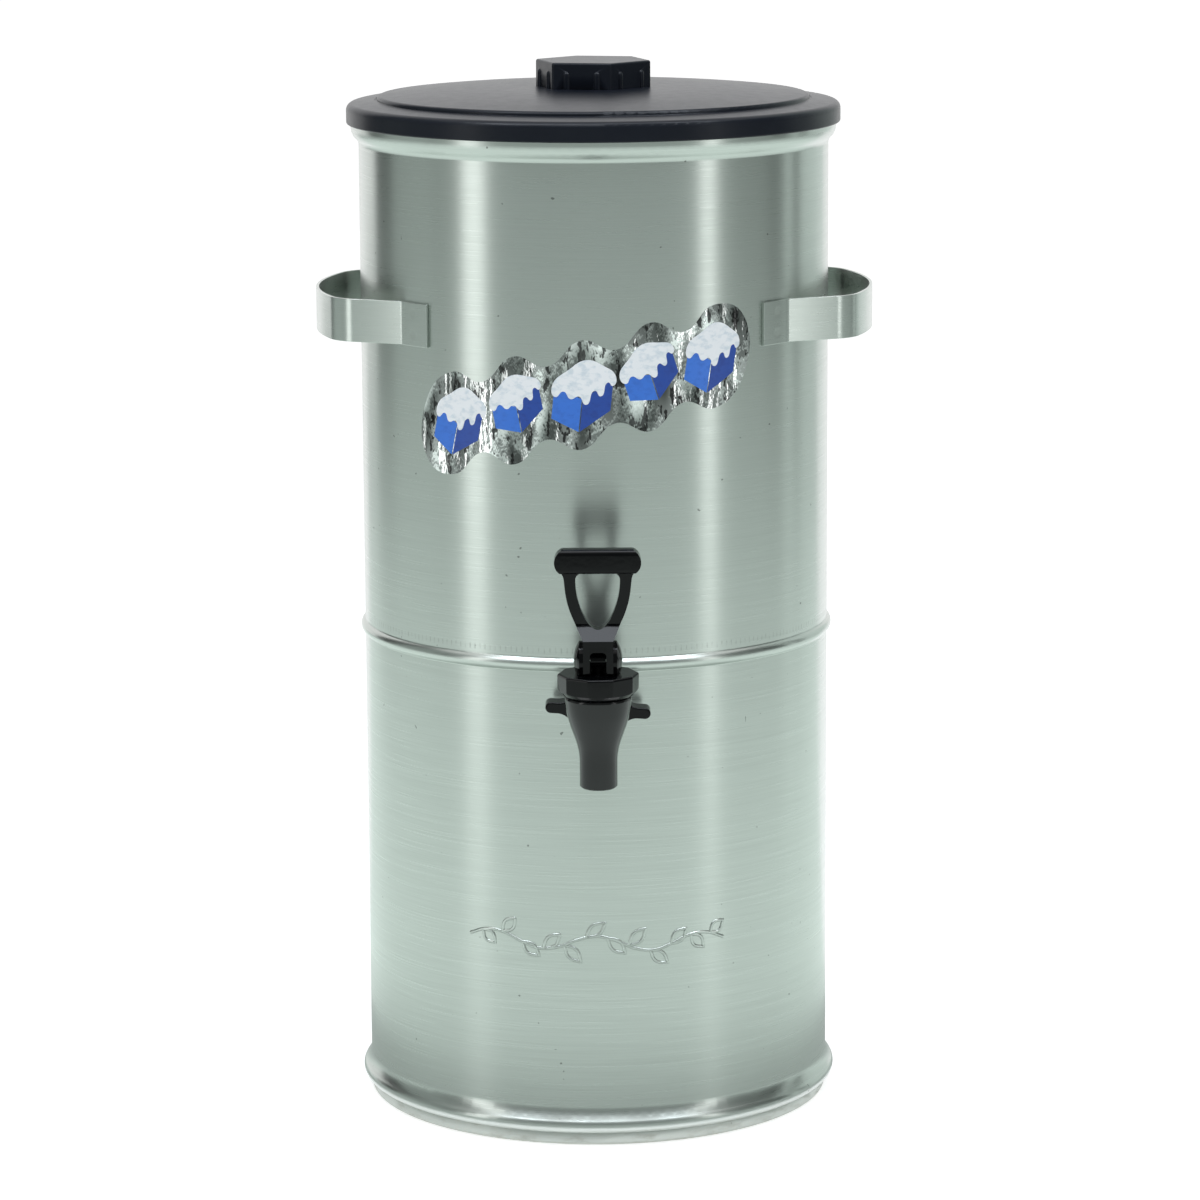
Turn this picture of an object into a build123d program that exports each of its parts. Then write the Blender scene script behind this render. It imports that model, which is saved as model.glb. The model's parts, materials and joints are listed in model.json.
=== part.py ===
from build123d import *
import os
from math import acos, atan, cos, degrees, radians, sin, sqrt, tan

os.makedirs("parts", exist_ok=True)

# An iced tea dispenser: a drawn steel container with a lift-off lid, two strap
# handles and a self-closing tap that a wing nut holds on a threaded shank.
# The origin is on the container's axis at floor level, +Z is up and the tap
# points to -Y. All sizes are in millimetres.

# Container
body_radius = 114.3
sheet = 1.0
sleeve_gap = 0.05
seam_height = 236.2
tank_height = 253.3

# Swaged bead at the seam between the skirt and the tank
seam_bead_height = 7.0
seam_bead_proud = 2.0
seam_bead_hollow = 1.2

# Rolled bead at the foot of the skirt
base_bead_drop = 9.3
base_bead_proud = 3.85
base_bead_crown = 3.6
base_bead_turn_under = 70.0

# Foot ring inside the skirt
foot_height = 6.9
foot_setback = 0.3
foot_flange = 7.0
foot_lap = 16.0
foot_jog = 1.2
foot_bend = 1.5

# Drawn pan that closes the bottom of the tank
pan_sheet = 1.0
pan_lap = 12.0
pan_depth = 42.5
pan_corner = 8.0

# Flared rim of the tank, hemmed inwards at the top
rim_proud = 3.8
rim_height = 8.0
rim_flare_height = 8.4
rim_flare_hollow = 4.0
hem_radius = 1.0
hem_depth = 3.0

# Lid
lid_gap = 0.3
lid_wall = 3.2
lid_skirt_wall = 1.7
lid_skirt_drop = 6.6
lid_skirt_edge = 0.8
lid_corner = 3.4
ledge_rise = 1.3
plateau_radius = 105.0
plateau_step = 3.4
plateau_edge = 1.8
plateau_rise = 3.7
dome_fullness = 0.78
lid_groove_width = 1.2
lid_groove_depth = 0.5
plug_clearance = 0.8
plug_wall = 1.8
plug_depth = 10.5

# Knob on the lid and the screw that holds it
knob_radius = 28.7
knob_height = 12.8
knob_turn = -13.3
knob_corner = 1.6
knob_edge = 1.1
knob_wall = 2.6
knob_seat_margin = 1.0
rib_radius = 1.9
rib_proud = 1.0
rib_spread = 7.5
rib_drop = 4.0
boss_radius = 5.5
screw_radius = 2.2
screw_fit = 0.1
screw_grip = 9.0
screw_head_radius = 4.6
screw_head_height = 2.2

# Strap handles
handle_standoff = 21.7
handle_strap = 1.5
handle_height = 20.6
handle_top_drop = 85.3
handle_bend = 19.25
handle_leg_turn = 68.4
handle_leg_inset = 16.2
handle_tab_end = 46.5

# Shank through the wall and what clamps it
tap_drop = 18.2
shank_radius = 8.0
shank_bore = 5.5
shank_flange_radius = 13.5
shank_flange = 2.6
shank_spigot_radius = 9.5
shank_spigot = 7.8
shank_tail = 14.5
hole_clearance = 0.3
gasket_radius = 13.0
gasket_thickness = 2.0
inner_gasket_thickness = 2.5
washer_thickness = 1.2
nut_height = 6.0
nut_flats = 24.0
thread_chamfer = 0.6

# Union between the shank and the tap
tail_washer_thickness = 1.8
tail_gap = 0.05
tail_radius = 7.8
tail_land = 0.8
ring_width = 1.6
ring_depth = 0.6
ring_proud = 1.5
ring_opening = 50.0
wing_nut_length = 14.4
wing_nut_lip = 2.5
wing_nut_radius = 13.75
wing_nut_fit = 0.1
wing_nut_slack = 0.15
wing_span = 49.6
wing_thickness = 5.2
wing_depth = 11.0
wing_root = 8.0
wing_turn = -4.1
wing_edge = 0.8

# Tap body
tap_reach = 40.0
spout_radius = 8.8
spout_bore = 6.2
spout_straight = 12.2
spout_edge = 1.0
cone_radius = 15.5
cone_shoulder = 3.1
cone_shoulder_drop = 16.0
tap_length = 43.6
tap_body_rise = 12.1
seat_above_tip = 18.8
seat_lip = 0.8
seat_recess = 0.8
chamber_foot_radius = 7.9
chamber_radius = 11.4
chamber_foot_height = 1.3
chamber_taper_height = 18.0
neck_radius = 13.6
neck_height = 4.5

# Bonnet
bonnet_radius = 19.0
bonnet_sides = 10
bonnet_turn = 3.0
bonnet_height = 10.9
bonnet_roof = 2.5
bonnet_under_height = 2.7
bonnet_edge = 1.1
bonnet_corner = 0.8
bonnet_thread_fit = 0.1
spring_room_radius = 9.6

# Silicone seat cup
cup_gap = 0.05
cup_foot_radius = 7.0
cup_mouth_radius = 10.0
cup_wall = 1.1
cup_floor = 2.5
cup_flange = 1.45
cup_flange_inset = 0.2

# Stem and its spring
stem_radius = 2.5
stem_fit = 0.4
stem_button_radius = 2.2
stem_button = 1.6
stem_foot_radius = 5.2
stem_foot = 1.8
stem_eye_radius = 3.8
stem_eye_width = 7.0
spring_radius = 4.75
spring_wire = 1.1
spring_turns = 6
spring_end_gap = 0.1

# Lever and its pin
pin_radius = 1.5
pin_fit = 0.06
pin_height = 6.0
heel_gap = 0.2
heel_offset = 6.5
lever_opening_angle = 28.0
cam_steps = 4
pin_seat_gap = 0.02
pin_inset = 0.4
slot_fit = 0.3
slot_top = 5.0
slot_back = 4.6
slot_corner = 1.9
pocket_half_width = 4.1
pocket_top = 7.7
pocket_depth = 1.2
boss_swell_radius = 9.0
boss_half_width = 11.4
boss_end_drop = 2.6
boss_join_angle = 35.0
block_half_width = 7.0
fold_height = 10.5
shelf_rise = 7.1
shelf_back = 7.0
leg_depth = 5.6
leg_root_drop = 2.8
leg_lean = 7.0
bar_bottom = 42.0
bar_height = 11.3
bar_half_width = 20.05
bar_flat_half_width = 16.0
bar_depth = 9.0
bar_lip = 4.0
bar_front_edge = 2.8
bar_foot_edge = 2.0
bar_back_edge = 1.6
leg_shoulder = 17.2
leg_neck = 15.5
leg_neck_drop = 5.0
leg_middle = 13.75
leg_end_slope = 2.0
ring_half_width = 10.3
ring_bottom = 15.2
ring_corner = 3.4
ring_drop = 11.1
ring_draw_in = 5.2

# Heights and places worked out from the sizes above
wall_middle = body_radius - sheet / 2
seam_top = seam_height + seam_bead_height / 2
rim_top = seam_height + tank_height
rim_radius = body_radius + rim_proud
pan_outer_radius = body_radius - sheet - sleeve_gap
pan_inner_radius = pan_outer_radius - pan_sheet
tap_z = seam_height - tap_drop
tap_y = -(body_radius + tap_reach)
shank_hole_radius = shank_radius + hole_clearance
flange_back = body_radius + gasket_thickness
flange_front = flange_back + shank_flange
spigot_end = flange_front + shank_spigot
tap_body_end = spigot_end + tail_gap + tail_washer_thickness + tail_gap
ring_back = tap_body_end + tail_land
ring_front = ring_back + ring_width
nut_front = ring_front + wing_nut_slack + wing_nut_lip
nut_back = nut_front - wing_nut_length
body_top = tap_z + tap_body_rise
tip_z = body_top - tap_length
cone_foot = tip_z + spout_straight
seat_z = tip_z + seat_above_tip
neck_top = body_top + neck_height
bonnet_top = body_top + bonnet_height
bonnet_ceiling = bonnet_top - bonnet_roof
cup_flange_top = neck_top + cup_gap + cup_flange
cup_foot = seat_z + cup_gap
cup_floor_top = cup_foot + cup_floor
stem_foot_top = cup_floor_top + cup_gap + stem_foot
pin_z = bonnet_top + pin_height
tap_axis = Axis((0, tap_y, 0), (0, 0, 1))
shank_axis = Axis((0, 0, tap_z), (0, 1, 0))
pin_axis = Axis((0, tap_y, pin_z), (1, 0, 0))
tap_plane = Plane(origin=(0, tap_y, 0), x_dir=(1, 0, 0), z_dir=(0, -1, 0))
lever_front = Plane(origin=(0, tap_y, pin_z), x_dir=(1, 0, 0), z_dir=(0, -1, 0))
lever_side = Plane(origin=(0, tap_y, pin_z), x_dir=(0, 1, 0), z_dir=(1, 0, 0))


def swage(rise, proud):
    """Turning angle in degrees and summed radii of an S from a wall to a bead."""
    angle = 2 * atan(proud / rise)
    return degrees(angle), rise / sin(angle)


def shank_point(out, radius):
    """A point of a turned section about the shank's axis, out from the container's axis."""
    return (-out, tap_z + radius)


def cam_point(angle):
    """A point of the lever's heel: an involute, so that lift grows evenly with angle."""
    lift = pin_height - heel_gap + heel_offset * radians(angle)
    return (
        -lift * sin(radians(angle)) - heel_offset * cos(radians(angle)),
        -lift * cos(radians(angle)) + heel_offset * sin(radians(angle)),
    )


def finish(builder, name):
    """Label a finished piece and write it."""
    builder.part.label = name
    export_step(builder.part, f"parts/{name}.step")


# Base skirt: a sleeve with a swaged bead on top and a rolled bead at its foot
seam_angle, seam_radii = swage(seam_bead_height / 2, seam_bead_proud)
base_angle, base_radii = swage(base_bead_drop, base_bead_proud)
base_bead_middle = foot_height + base_bead_crown
with BuildPart() as base_skirt:
    with BuildSketch(Plane.XZ):
        with BuildLine():
            seam_in = JernArc((wall_middle, seam_top), (0, -1), seam_bead_hollow, seam_angle)
            seam_crown = JernArc(seam_in @ 1, seam_in % 1, seam_radii - seam_bead_hollow, -2 * seam_angle)
            seam_out = JernArc(seam_crown @ 1, seam_crown % 1, seam_bead_hollow, seam_angle)
            skirt_wall = Line(seam_out @ 1, (wall_middle, base_bead_middle + base_bead_drop))
            base_flare = JernArc(skirt_wall @ 1, (0, -1), base_radii - base_bead_crown, base_angle)
            JernArc(base_flare @ 1, base_flare % 1, base_bead_crown, -base_angle - base_bead_turn_under)
        trace(line_width=sheet)
    revolve(axis=Axis.Z)
    with BuildSketch(Plane.XZ.offset(flange_back)):
        with Locations((0, tap_z)):
            Circle(shank_hole_radius)
    extrude(amount=-shank_tail, mode=Mode.SUBTRACT)
finish(base_skirt, "base_skirt")

# Foot ring: a flanged ring whose upper edge is set in behind the skirt
foot_middle = body_radius - foot_setback - sheet / 2
spigot_middle = body_radius - sheet - sleeve_gap - sheet / 2
with BuildPart() as foot_ring:
    with BuildSketch(Plane.XZ):
        with BuildLine():
            foot_turn = FilletPolyline(
                (foot_middle - foot_flange, sheet / 2),
                (foot_middle, sheet / 2),
                (foot_middle, foot_height - foot_jog),
                radius=foot_bend,
            )
            Polyline(foot_turn @ 1, (spigot_middle, foot_height), (spigot_middle, foot_height + foot_lap))
        trace(line_width=sheet)
    revolve(axis=Axis.Z)
finish(foot_ring, "foot_ring")

# Bottom pan: a drawn cup that sleeves the skirt to the tank and holds the sump
with BuildPart() as bottom_pan:
    with BuildSketch(Plane.XZ):
        with BuildLine():
            FilletPolyline(
                (pan_outer_radius - pan_sheet / 2, seam_height + pan_lap),
                (pan_outer_radius - pan_sheet / 2, seam_height - pan_depth + pan_sheet / 2),
                (0, seam_height - pan_depth + pan_sheet / 2),
                radius=pan_corner,
            )
        trace(line_width=pan_sheet)
    revolve(axis=Axis.Z)
    with BuildSketch(Plane.XZ.offset(flange_back)):
        with Locations((0, tap_z)):
            Circle(shank_hole_radius)
    extrude(amount=-shank_tail, mode=Mode.SUBTRACT)
finish(bottom_pan, "bottom_pan")

# Tank wall: a sleeve whose rim is flared outwards and hemmed inwards at the top
rim_angle, rim_radii = swage(rim_flare_height, rim_proud)
rim_foot = rim_top - rim_height - rim_flare_height
with BuildPart() as tank_wall:
    with BuildSketch(Plane.XZ):
        with BuildLine():
            tank_side = Line((wall_middle, seam_top + sleeve_gap), (wall_middle, rim_foot))
            rim_out = JernArc(tank_side @ 1, (0, 1), rim_flare_hollow, -rim_angle)
            rim_up = JernArc(rim_out @ 1, rim_out % 1, rim_radii - rim_flare_hollow, rim_angle)
            rim_side = Line(rim_up @ 1, ((rim_up @ 1).X, rim_top - sheet / 2 - hem_radius))
            hem = JernArc(rim_side @ 1, (0, 1), hem_radius, 180)
            Line(hem @ 1, hem @ 1 - (0, hem_depth))
        trace(line_width=sheet)
    revolve(axis=Axis.Z)
finish(tank_wall, "tank_wall")

# Lid: a moulded cover with a raised, slightly domed middle and a ring that
# drops inside the tank's mouth
lid_seat = rim_top + lid_gap
lid_inner_radius = rim_radius + lid_gap
lid_radius = lid_inner_radius + lid_skirt_wall
lid_bottom = lid_seat - lid_skirt_drop
ledge_top = lid_seat + lid_wall
mouth_radius = rim_radius - 2 * hem_radius - sheet
plug_radius = mouth_radius - plug_clearance
knob_seat_radius = knob_radius + knob_seat_margin
plateau_top = ledge_top + plateau_step
plateau_inner_radius = min(plateau_radius - lid_wall, plug_radius - 2 * plug_wall)
ledge_width = lid_radius - plateau_radius - lid_groove_width
lid_corner_radius = min(lid_corner, ledge_width / 2)
knob_seat = plateau_top + plateau_rise
with BuildPart() as lid:
    with BuildSketch(Plane.XZ):
        with BuildLine():
            skirt_side = Line(
                (lid_radius, lid_bottom + lid_skirt_edge),
                (lid_radius, ledge_top - lid_corner_radius),
            )
            lid_round = JernArc(skirt_side @ 1, (0, 1), lid_corner_radius, 90)
            lid_ledge = Polyline(
                lid_round @ 1,
                (plateau_radius + lid_groove_width, ledge_top + ledge_rise),
                (plateau_radius + lid_groove_width, ledge_top + ledge_rise - lid_groove_depth),
                (plateau_radius, ledge_top + ledge_rise - lid_groove_depth),
                (plateau_radius, plateau_top - plateau_edge),
            )
            plateau_round = JernArc(lid_ledge @ 1, (0, 1), plateau_edge, 90)
            dome_middle = (plateau_radius + knob_seat_radius) / 2
            dome_top = ThreePointArc(
                plateau_round @ 1,
                (dome_middle, plateau_top + dome_fullness * plateau_rise),
                (knob_seat_radius, knob_seat),
            )
            lid_crown = Polyline(dome_top @ 1, (0, knob_seat), (0, knob_seat - lid_wall))
            lid_under = Line(lid_crown @ 1, (knob_seat_radius, knob_seat - lid_wall))
            dome_under = ThreePointArc(
                lid_under @ 1,
                (dome_middle, plateau_top + dome_fullness * plateau_rise - lid_wall),
                (plateau_inner_radius, plateau_top - lid_wall),
            )
            Polyline(
                dome_under @ 1,
                (plateau_inner_radius, lid_seat),
                (plug_radius - plug_wall, lid_seat),
                (plug_radius - plug_wall, lid_seat - plug_depth),
                (plug_radius, lid_seat - plug_depth),
                (plug_radius, lid_seat),
                (lid_inner_radius, lid_seat),
                (lid_inner_radius, lid_bottom),
                (lid_radius - lid_skirt_edge, lid_bottom),
            )
            JernArc((lid_radius - lid_skirt_edge, lid_bottom), (1, 0), lid_skirt_edge, 90)
        make_face()
    revolve(axis=Axis.Z)
    with BuildSketch(Plane.XY.offset(knob_seat)):
        Circle(screw_radius + screw_fit)
    extrude(amount=-lid_wall, mode=Mode.SUBTRACT)
finish(lid, "lid")

# Knob: a hollow six-sided cap with two grip ribs on each face
rib_middle = knob_radius * cos(radians(30)) + rib_proud - rib_radius
rib_height = knob_height - rib_drop - rib_radius
with BuildPart() as lid_knob:
    with BuildSketch(Plane.XY.offset(knob_seat)) as knob_plan:
        RegularPolygon(knob_radius, 6, rotation=knob_turn)
        fillet(knob_plan.vertices(), knob_corner)
    extrude(amount=knob_height)
    fillet(lid_knob.faces().sort_by(Axis.Z)[-1].edges(), knob_edge)
    with BuildSketch(Plane.XY.offset(knob_seat)):
        RegularPolygon(knob_radius - knob_wall / cos(radians(30)), 6, rotation=knob_turn)
    extrude(amount=knob_height - knob_wall, mode=Mode.SUBTRACT)
    with BuildSketch(Plane.XY.offset(knob_seat)):
        Circle(boss_radius)
    extrude(amount=knob_height - knob_wall)
    with BuildSketch(Plane.XY.offset(knob_seat)):
        Circle(screw_radius + screw_fit)
    extrude(amount=screw_grip, mode=Mode.SUBTRACT)
    for side in (-1, 1):
        rib_turn = knob_turn + 30 + side * degrees(atan(rib_spread / rib_middle))
        with BuildSketch(Plane.XY.offset(knob_seat)):
            with PolarLocations(sqrt(rib_middle**2 + rib_spread**2), 6, start_angle=rib_turn):
                Circle(rib_radius)
        extrude(amount=rib_height)
        with Locations((0, 0, knob_seat + rib_height)):
            with PolarLocations(sqrt(rib_middle**2 + rib_spread**2), 6, start_angle=rib_turn):
                Sphere(rib_radius)
finish(lid_knob, "lid_knob")

# Screw that holds the knob from below
with BuildPart() as knob_screw:
    with BuildSketch(Plane.XZ):
        with BuildLine():
            screw_side = Polyline(
                (0, knob_seat - lid_wall + screw_grip),
                (screw_radius - thread_chamfer, knob_seat - lid_wall + screw_grip),
                (screw_radius, knob_seat - lid_wall + screw_grip - thread_chamfer),
                (screw_radius, knob_seat - lid_wall),
                (screw_head_radius, knob_seat - lid_wall),
            )
            screw_dome = JernArc(screw_side @ 1, (0, -1), screw_head_height, -90)
            Polyline(
                screw_dome @ 1,
                (0, (screw_dome @ 1).Y),
                screw_side @ 0,
            )
        make_face()
    revolve(axis=Axis.Z)
finish(knob_screw, "knob_screw")

# Right handle: a bent strap with a tab at each end that lies on the wall
grip_radius = body_radius + handle_standoff - handle_strap / 2
leg_distance = body_radius - handle_leg_inset
tab_radius = body_radius + sleeve_gap + handle_strap / 2
bend_turn = handle_leg_turn - degrees(
    acos((leg_distance - handle_bend) / (grip_radius - handle_bend))
)
tab_start = handle_leg_turn - degrees(acos(leg_distance / tab_radius))
handle_top = rim_top - handle_top_drop
with BuildPart() as right_handle:
    with BuildSketch(Plane.XY.offset(handle_top - handle_height)) as strap_plan:
        with BuildLine() as strap_path:
            grip = CenterArc((0, 0), grip_radius, 0, bend_turn)
            bend = CenterArc(
                (
                    (grip_radius - handle_bend) * cos(radians(bend_turn)),
                    (grip_radius - handle_bend) * sin(radians(bend_turn)),
                ),
                handle_bend,
                bend_turn,
                handle_leg_turn - bend_turn,
            )
            tab_corner = (tab_radius * cos(radians(tab_start)), tab_radius * sin(radians(tab_start)))
            Line(bend @ 1, tab_corner)
            CenterArc((0, 0), tab_radius, tab_start, handle_tab_end - tab_start)
            mirror(about=Plane.XZ)
        trace(line_width=handle_strap)
    extrude(amount=handle_height)
finish(right_handle, "right_handle")

# Left handle: the same strap on the other side
with BuildPart() as left_handle:
    add(mirror(right_handle.part, about=Plane.YZ, mode=Mode.PRIVATE))
finish(left_handle, "left_handle")

# Shank: a threaded tube through both walls with a flange outside
with BuildPart() as tap_shank:
    with BuildSketch(Plane.YZ):
        with BuildLine():
            Polyline(
                shank_point(body_radius - shank_tail, shank_bore),
                shank_point(body_radius - shank_tail, shank_radius - thread_chamfer),
                shank_point(body_radius - shank_tail + thread_chamfer, shank_radius),
                shank_point(flange_back, shank_radius),
                shank_point(flange_back, shank_flange_radius),
                shank_point(flange_front, shank_flange_radius),
                shank_point(flange_front, shank_spigot_radius),
                shank_point(spigot_end - thread_chamfer, shank_spigot_radius),
                shank_point(spigot_end, shank_spigot_radius - thread_chamfer),
                shank_point(spigot_end, shank_bore),
                close=True,
            )
        make_face()
    revolve(axis=shank_axis)
finish(tap_shank, "tap_shank")

# Outer gasket: flat to the flange and hollowed to the skirt's curve
with BuildPart() as outer_gasket:
    with BuildSketch(Plane.XZ.offset(flange_back)):
        with Locations((0, tap_z)):
            Circle(gasket_radius)
            Circle(shank_radius, mode=Mode.SUBTRACT)
    extrude(amount=-gasket_radius)
    with BuildSketch(Plane.XY.offset(tap_z - gasket_radius)):
        Circle(body_radius + sleeve_gap)
    extrude(amount=2 * gasket_radius, mode=Mode.SUBTRACT)
finish(outer_gasket, "outer_gasket")

# Inner gasket: round outside to the pan's curve and flat to the washer
washer_back = pan_inner_radius - inner_gasket_thickness
with BuildPart() as inner_gasket:
    with BuildSketch(Plane.XZ.offset(pan_inner_radius)):
        with Locations((0, tap_z)):
            Circle(gasket_radius)
            Circle(shank_radius, mode=Mode.SUBTRACT)
    extrude(amount=-inner_gasket_thickness)
    with BuildSketch(Plane.XY.offset(tap_z - gasket_radius)):
        Circle(pan_inner_radius - sleeve_gap)
    extrude(amount=2 * gasket_radius, mode=Mode.INTERSECT)
finish(inner_gasket, "inner_gasket")

# Flat washer inside the pan
with BuildPart() as shank_washer:
    with BuildSketch(Plane.XZ.offset(washer_back)):
        with Locations((0, tap_z)):
            Circle(gasket_radius)
            Circle(shank_radius, mode=Mode.SUBTRACT)
    extrude(amount=-washer_thickness)
finish(shank_washer, "shank_washer")

# Hexagon nut that clamps the shank from inside the pan
with BuildPart() as shank_nut:
    with BuildSketch(Plane.XZ.offset(washer_back - washer_thickness)):
        with Locations((0, tap_z)):
            RegularPolygon(nut_flats / 2, 6, major_radius=False, rotation=30)
            Circle(shank_radius, mode=Mode.SUBTRACT)
    extrude(amount=-nut_height)
finish(shank_nut, "shank_nut")

# Washer between the shank's end and the tap's tail
with BuildPart() as tail_washer:
    with BuildSketch(Plane.XZ.offset(spigot_end + tail_gap)):
        with Locations((0, tap_z)):
            Circle(shank_spigot_radius - thread_chamfer)
            Circle(shank_bore, mode=Mode.SUBTRACT)
    extrude(amount=tail_washer_thickness)
finish(tail_washer, "tail_washer")

# Tap body: a bulged cone with a straight tip, a threaded neck and a tail
with BuildPart() as tap_body:
    with BuildSketch(tap_plane):
        with BuildLine():
            tip = Polyline(
                (0, tip_z),
                (spout_radius - spout_edge, tip_z),
                (spout_radius, tip_z + spout_edge),
                (spout_radius, cone_foot),
            )
            cone = Spline(
                tip @ 1,
                (cone_radius - cone_shoulder, body_top - cone_shoulder_drop),
                (cone_radius, body_top),
                tangents=((0, 1), (0, 1)),
            )
            Polyline(cone @ 1, (neck_radius, body_top), (neck_radius, neck_top), (0, neck_top), (0, tip_z))
        make_face()
    revolve(axis=tap_axis)
    with BuildSketch(Plane.XZ.offset(tap_body_end)):
        with Locations((0, tap_z)):
            Circle(tail_radius)
    extrude(amount=body_radius + tap_reach - tap_body_end)
    with BuildSketch(tap_plane):
        with BuildLine():
            Polyline(
                (0, tip_z),
                (spout_bore, tip_z),
                (spout_bore, seat_z),
                (spout_bore + seat_lip, seat_z),
                (spout_bore + seat_lip, seat_z - seat_recess),
                (chamber_foot_radius, seat_z - seat_recess),
                (chamber_foot_radius, seat_z + chamber_foot_height),
                (chamber_radius, seat_z + chamber_taper_height),
                (chamber_radius, neck_top),
                (0, neck_top),
                close=True,
            )
        make_face()
    revolve(axis=tap_axis, mode=Mode.SUBTRACT)
    with BuildSketch(Plane.XZ.offset(tap_body_end)):
        with Locations((0, tap_z)):
            Circle(shank_bore)
    extrude(amount=body_radius + tap_reach - tap_body_end, mode=Mode.SUBTRACT)
    with BuildSketch(Plane.XZ.offset(ring_back)):
        with Locations((0, tap_z)):
            Circle(tail_radius + ring_proud)
            Circle(tail_radius - ring_depth, mode=Mode.SUBTRACT)
    extrude(amount=ring_width, mode=Mode.SUBTRACT)
finish(tap_body, "tap_body")

# Split ring in the tail's groove that keeps the wing nut on
with BuildPart() as tail_ring:
    with BuildSketch(Plane.XZ.offset(ring_back)):
        with Locations((0, tap_z)):
            Circle(tail_radius + ring_proud)
            Circle(tail_radius - ring_depth, mode=Mode.SUBTRACT)
        with BuildLine():
            gap_reach = 2 * (tail_radius + ring_proud)
            gap_half = gap_reach * sin(radians(ring_opening / 2))
            Polyline((0, tap_z), (-gap_half, tap_z - gap_reach), (gap_half, tap_z - gap_reach), close=True)
        make_face(mode=Mode.SUBTRACT)
    extrude(amount=ring_width)
finish(tail_ring, "tail_ring")

# Wing nut: a hub with two flared wings, threaded behind and lipped in front
wing_back = nut_back + (wing_nut_length - wing_depth) / 2
with BuildPart() as wing_nut:
    with BuildSketch(Plane.XZ.offset(wing_back)) as wing_plan:
        with Locations((0, tap_z)):
            SlotOverall(wing_span, wing_thickness, rotation=wing_turn)
            Circle(wing_nut_radius)
        root_corners = wing_plan.vertices().sort_by(lambda corner: abs(corner.X))[:4]
        fillet(root_corners, wing_root)
    extrude(amount=wing_depth)
    fillet(wing_nut.faces().filter_by(Axis.Y).edges(), wing_edge)
    with BuildSketch(Plane.XZ.offset(nut_back)):
        with Locations((0, tap_z)):
            Circle(wing_nut_radius)
    extrude(amount=wing_nut_length)
    with BuildSketch(Plane.XZ.offset(nut_back)):
        with Locations((0, tap_z)):
            Circle(shank_spigot_radius + wing_nut_fit)
    extrude(amount=wing_nut_length - wing_nut_lip, mode=Mode.SUBTRACT)
    with BuildSketch(Plane.XZ.offset(nut_front)):
        with Locations((0, tap_z)):
            Circle(tail_radius + hole_clearance)
    extrude(amount=-wing_nut_length, mode=Mode.SUBTRACT)
finish(wing_nut, "wing_nut")

# Bonnet: a ten-sided cap, coned underneath, that screws on the neck
bonnet_flat = bonnet_radius * cos(radians(180 / bonnet_sides))
under_top = body_top + bonnet_under_height
under_slope = (bonnet_flat - cone_radius) / bonnet_under_height
with BuildPart() as bonnet:
    with BuildSketch(Plane.XY.offset(body_top)) as bonnet_plan:
        with Locations((0, tap_y)):
            RegularPolygon(bonnet_radius, bonnet_sides, rotation=bonnet_turn)
        fillet(bonnet_plan.vertices(), bonnet_corner)
    extrude(amount=bonnet_height)
    fillet(bonnet.faces().sort_by(Axis.Z)[-1].edges(), bonnet_edge)
    with BuildSketch(tap_plane):
        with BuildLine():
            Polyline(
                (cone_radius, body_top),
                (2 * bonnet_radius, body_top),
                (2 * bonnet_radius, body_top + (2 * bonnet_radius - cone_radius) / under_slope),
                close=True,
            )
        make_face()
    revolve(axis=tap_axis, mode=Mode.SUBTRACT)
    with BuildSketch(tap_plane):
        with BuildLine():
            Polyline(
                (0, body_top),
                (neck_radius + bonnet_thread_fit, body_top),
                (neck_radius + bonnet_thread_fit, cup_flange_top + cup_gap),
                (spring_room_radius, cup_flange_top + cup_gap),
                (spring_room_radius, bonnet_ceiling),
                (stem_radius + stem_fit, bonnet_ceiling),
                (stem_radius + stem_fit, bonnet_top),
                (0, bonnet_top),
                close=True,
            )
        make_face()
    revolve(axis=tap_axis, mode=Mode.SUBTRACT)
finish(bonnet, "bonnet")

# Seat cup: a silicone bell whose floor closes the spout and whose flange is
# clamped between the neck and the bonnet
cup_flange_radius = neck_radius - cup_flange_inset
with BuildPart() as seat_cup:
    with BuildSketch(tap_plane):
        with BuildLine():
            Polyline(
                (0, cup_foot),
                (cup_foot_radius, cup_foot),
                (cup_foot_radius, cup_floor_top),
                (cup_mouth_radius, neck_top + cup_gap),
                (cup_flange_radius, neck_top + cup_gap),
                (cup_flange_radius, cup_flange_top),
                (cup_mouth_radius - cup_wall, cup_flange_top),
                (cup_foot_radius - cup_wall, cup_floor_top),
                (stem_button_radius + cup_gap, cup_floor_top),
                (stem_button_radius + cup_gap, cup_floor_top - stem_button),
                (0, cup_floor_top - stem_button),
                close=True,
            )
        make_face()
    revolve(axis=tap_axis)
finish(seat_cup, "seat_cup")

# Stem: a button and foot in the seat cup, a rod through the bonnet and a flat
# eye that the lever's pin goes through
with BuildPart() as valve_stem:
    with BuildSketch(tap_plane):
        with BuildLine():
            Polyline(
                (0, cup_floor_top - stem_button + cup_gap),
                (stem_button_radius, cup_floor_top - stem_button + cup_gap),
                (stem_button_radius, cup_floor_top + cup_gap),
                (stem_foot_radius, cup_floor_top + cup_gap),
                (stem_foot_radius, stem_foot_top),
                (stem_radius, stem_foot_top),
                (stem_radius, pin_z),
                (0, pin_z),
                close=True,
            )
        make_face()
    revolve(axis=tap_axis)
    with BuildSketch(lever_side):
        Circle(stem_eye_radius)
    extrude(amount=stem_eye_width / 2, both=True)
    with BuildSketch(lever_side):
        Circle(pin_radius + pin_fit)
    extrude(amount=stem_eye_width, both=True, mode=Mode.SUBTRACT)
finish(valve_stem, "valve_stem")

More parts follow.
